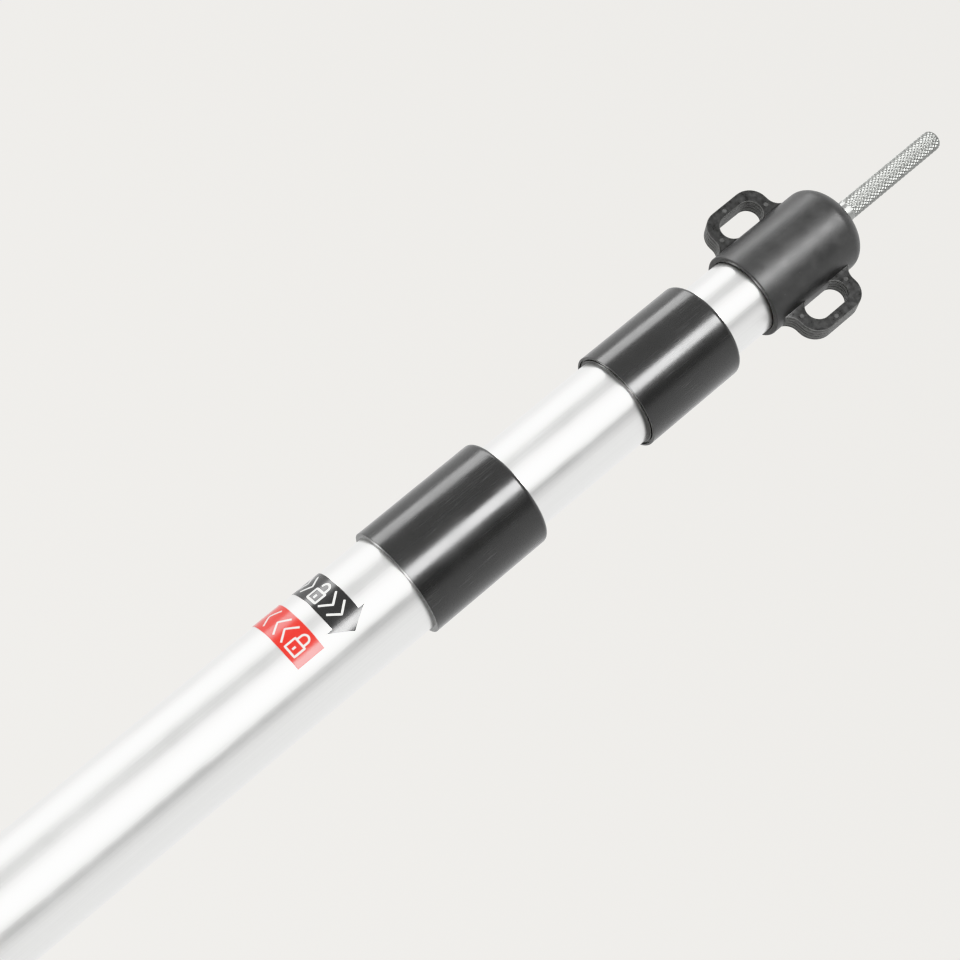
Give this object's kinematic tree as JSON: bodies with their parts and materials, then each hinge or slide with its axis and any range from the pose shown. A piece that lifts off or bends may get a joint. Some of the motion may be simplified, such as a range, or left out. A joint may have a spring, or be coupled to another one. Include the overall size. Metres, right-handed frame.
{
  "type": "telescopic support pole",
  "caption": "Three-section telescopic twist-lock support pole with a domed head cap, slotted guy-line ears, a knurled steel spike and a rubber foot.",
  "frame": {"origin": "centre of the rubber foot's underside, on the pole's axis", "axes": "+Z along the pole from the foot to the spike, +X through one ear's slot"},
  "size_m": [0.0448, 0.035, 0.6364],
  "materials": {
    "anodised_tube": "satin anodised, drawn",
    "sleeve_plastic": "moulded, glossy black",
    "cap_nylon": "moulded nylon, satin black",
    "zinc_steel": "zinc plated, bright",
    "foot_rubber": "moulded rubber",
    "lock_nylon": "natural nylon",
    "shoe_nylon": "dark grey nylon",
    "black_label": "printed film, black with white signs",
    "red_label": "printed film, red with white signs"
  },
  "bodies": {
    "outer_section": {"outer_tube": "anodised_tube", "outer_sleeve": "sleeve_plastic", "foot_cap": "foot_rubber", "foot_plug": "lock_nylon", "move_label": "black_label", "lock_label": "red_label"},
    "lower_lock_carrier": {"lower_guide_ring": "lock_nylon"},
    "middle_section": {"middle_tube": "anodised_tube", "middle_sleeve": "sleeve_plastic", "lower_lock_plug": "lock_nylon", "lower_lock_stud": "zinc_steel", "lower_end_nut": "zinc_steel"},
    "lower_cone_nut": {"lower_cone_nut": "lock_nylon"},
    "lower_shoe_front": {"lower_shoe_front": "shoe_nylon"},
    "lower_shoe_back": {"lower_shoe_back": "shoe_nylon"},
    "upper_lock_carrier": {"upper_guide_ring": "lock_nylon"},
    "inner_section": {"inner_tube": "anodised_tube", "head_cap": "cap_nylon", "spike": "zinc_steel", "head_plug": "lock_nylon", "upper_lock_plug": "lock_nylon", "upper_lock_stud": "zinc_steel", "upper_end_nut": "zinc_steel"},
    "upper_cone_nut": {"upper_cone_nut": "lock_nylon"},
    "upper_shoe_front": {"upper_shoe_front": "shoe_nylon"},
    "upper_shoe_back": {"upper_shoe_back": "shoe_nylon"}
  },
  "joints": [
    {"name": "middle_slide", "type": "slide", "parent": "outer_section", "child": "lower_lock_carrier", "axis": [0, 0, 1], "range_m": [0, 0.36]},
    {"name": "middle_twist", "type": "hinge", "parent": "lower_lock_carrier", "child": "middle_section", "pos_m": [0, 0, 0.07], "axis": [0, 0, 1], "range_deg": [0, 180]},
    {"name": "lower_nut_travel", "type": "slide", "parent": "lower_lock_carrier", "child": "lower_cone_nut", "axis": [0, 0, -1], "range_m": [0, 0.00201]},
    {"name": "lower_front_shoe_travel", "type": "slide", "parent": "lower_lock_carrier", "child": "lower_shoe_front", "axis": [0, 1, 0], "range_m": [0, 0.00043]},
    {"name": "lower_back_shoe_travel", "type": "slide", "parent": "lower_lock_carrier", "child": "lower_shoe_back", "axis": [0, -1, 0], "range_m": [0, 0.00043]},
    {"name": "inner_slide", "type": "slide", "parent": "middle_section", "child": "upper_lock_carrier", "axis": [0, 0, 1], "range_m": [0, 0.36]},
    {"name": "inner_twist", "type": "hinge", "parent": "upper_lock_carrier", "child": "inner_section", "pos_m": [0, 0, 0.13], "axis": [0, 0, 1], "range_deg": [0, 180]},
    {"name": "upper_nut_travel", "type": "slide", "parent": "upper_lock_carrier", "child": "upper_cone_nut", "axis": [0, 0, -1], "range_m": [0, 0.00201]},
    {"name": "upper_front_shoe_travel", "type": "slide", "parent": "upper_lock_carrier", "child": "upper_shoe_front", "axis": [0, 1, 0], "range_m": [0, 0.00043]},
    {"name": "upper_back_shoe_travel", "type": "slide", "parent": "upper_lock_carrier", "child": "upper_shoe_back", "axis": [0, -1, 0], "range_m": [0, 0.00043]}
  ],
  "couplings": [
    {"joint": "lower_nut_travel", "follows": "middle_twist", "m_per_rad": 0.00063662},
    {"joint": "lower_front_shoe_travel", "follows": "middle_twist", "m_per_rad": 0.00013532},
    {"joint": "lower_back_shoe_travel", "follows": "middle_twist", "m_per_rad": 0.00013532},
    {"joint": "upper_nut_travel", "follows": "inner_twist", "m_per_rad": 0.00063662},
    {"joint": "upper_front_shoe_travel", "follows": "inner_twist", "m_per_rad": 0.00013532},
    {"joint": "upper_back_shoe_travel", "follows": "inner_twist", "m_per_rad": 0.00013532}
  ]
}
